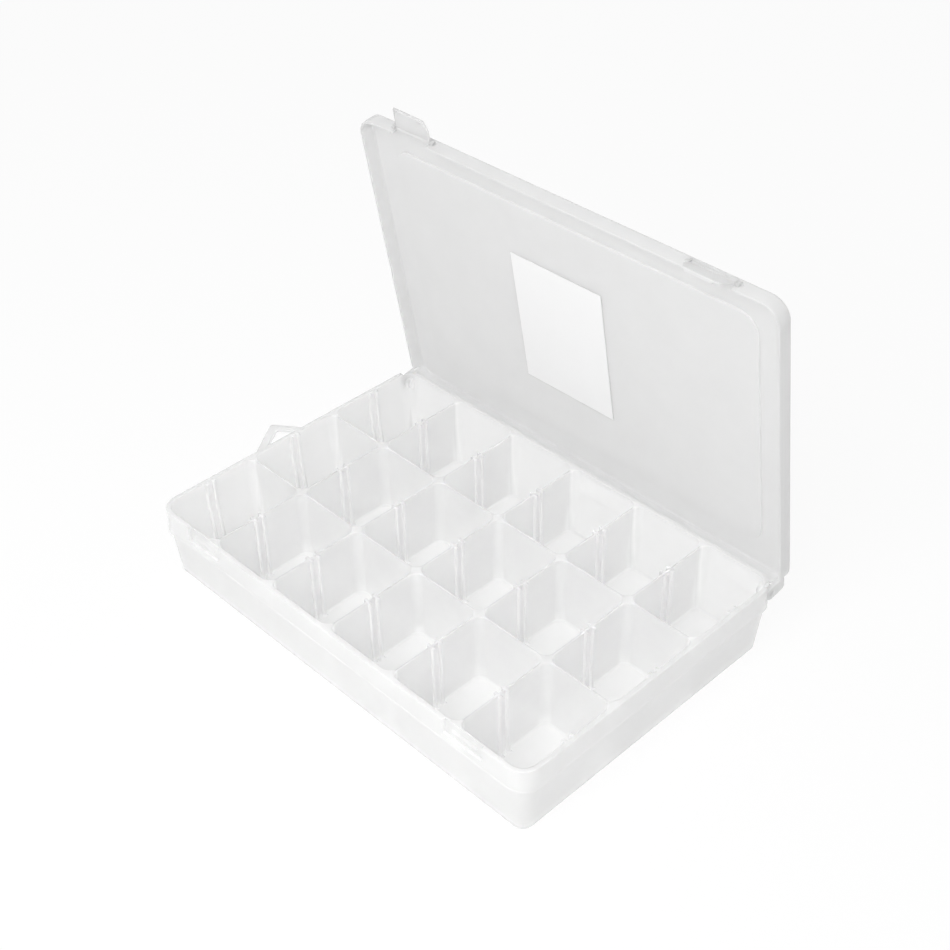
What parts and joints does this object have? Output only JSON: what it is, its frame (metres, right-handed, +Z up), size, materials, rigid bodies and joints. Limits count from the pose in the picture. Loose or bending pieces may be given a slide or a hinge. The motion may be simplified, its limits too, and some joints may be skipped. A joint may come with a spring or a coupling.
{
  "type": "embroidery thread box",
  "caption": "Shallow clear plastic storage box with fixed compartments, a hinged lid standing open, snap latches and a side hang loop.",
  "frame": {"origin": "middle of the tray's flat underside", "axes": "+X to the right along the width, +Y to the hinged back, +Z up; the tray rests on Z = 0"},
  "size_m": [0.2852, 0.1934, 0.2263],
  "materials": {
    "tray plastic": "frosted, slightly translucent",
    "lid plastic": "frosted, slightly translucent",
    "latch plastic": "frosted, slightly translucent",
    "label paper": "plain coated paper"
  },
  "bodies": {
    "tray": {"tray_shell": "tray plastic", "front_long_wall": "tray plastic", "back_long_wall": "tray plastic", "front_wall_1": "tray plastic", "front_wall_2": "tray plastic", "front_wall_3": "tray plastic", "front_wall_4": "tray plastic", "front_wall_5": "tray plastic", "middle_wall_1": "tray plastic", "middle_wall_2": "tray plastic", "middle_wall_3": "tray plastic", "middle_wall_4": "tray plastic", "middle_wall_5": "tray plastic", "back_wall_1": "tray plastic", "back_wall_2": "tray plastic", "back_wall_3": "tray plastic", "back_wall_4": "tray plastic", "back_wall_5": "tray plastic", "left_slot_ribs": "tray plastic", "right_slot_ribs": "tray plastic", "hang_loop": "tray plastic", "left_hinge_post": "tray plastic", "right_hinge_post": "tray plastic", "left_catch": "tray plastic", "right_catch": "tray plastic"},
    "lid": {"lid": "lid plastic", "label": "label paper"},
    "left_latch": {"left_latch": "latch plastic"},
    "right_latch": {"right_latch": "latch plastic"}
  },
  "joints": [
    {"name": "lid_hinge", "type": "hinge", "parent": "tray", "child": "lid", "pos_m": [0, 0.087, 0.0375], "axis": [-1, 0, 0], "range_deg": [-80, 30]},
    {"name": "left_latch_hinge", "type": "hinge", "parent": "lid", "child": "left_latch", "pos_m": [-0.096, 0.06647, 0.21442], "axis": [-1, 0, 0], "range_deg": [-90, 60]},
    {"name": "right_latch_hinge", "type": "hinge", "parent": "lid", "child": "right_latch", "pos_m": [0.096, 0.06647, 0.21442], "axis": [-1, 0, 0], "range_deg": [-30, 120]}
  ]
}
